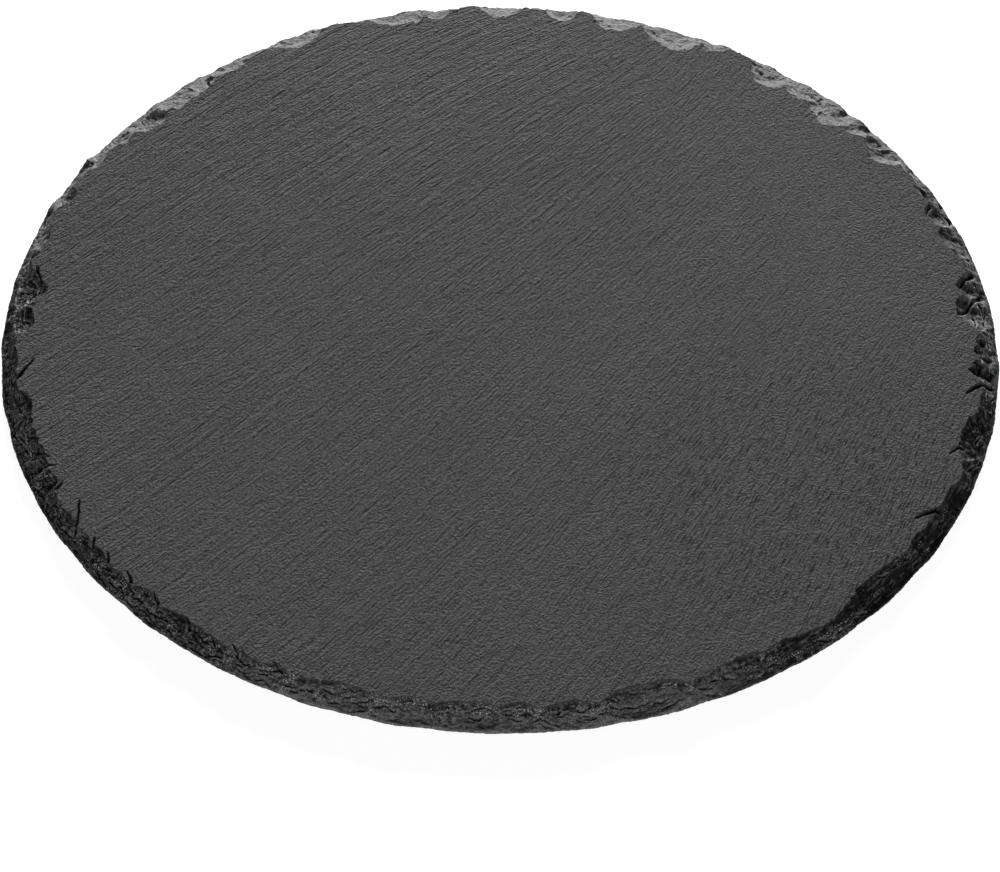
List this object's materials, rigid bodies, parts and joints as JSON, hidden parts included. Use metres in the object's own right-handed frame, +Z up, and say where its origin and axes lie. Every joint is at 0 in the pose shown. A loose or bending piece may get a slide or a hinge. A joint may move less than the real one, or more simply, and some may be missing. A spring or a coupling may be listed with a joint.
{
  "type": "slate serving board",
  "caption": "Round slate serving board with a hammer-dressed, flaked edge and self-adhesive rubber feet, for serving cheese, bread or cold dishes on a table.",
  "frame": {"origin": "middle of the plane that the four feet stand on, under the centre of the board", "axes": "+Z up, out of the serving face; +X to the right and +Y to the back as the board is seen from the front"},
  "size_m": [0.2996, 0.2994, 0.0072],
  "materials": {
    "slate": "riven, matt",
    "rubber": "moulded, matt",
    "adhesive": "double-sided film"
  },
  "bodies": {
    "root": {"slate_board": "slate", "foot_front_right": "rubber", "foot_back_right": "rubber", "foot_back_left": "rubber", "foot_front_left": "rubber", "adhesive_front_right": "adhesive", "adhesive_back_right": "adhesive", "adhesive_back_left": "adhesive", "adhesive_front_left": "adhesive"}
  },
  "joints": []
}
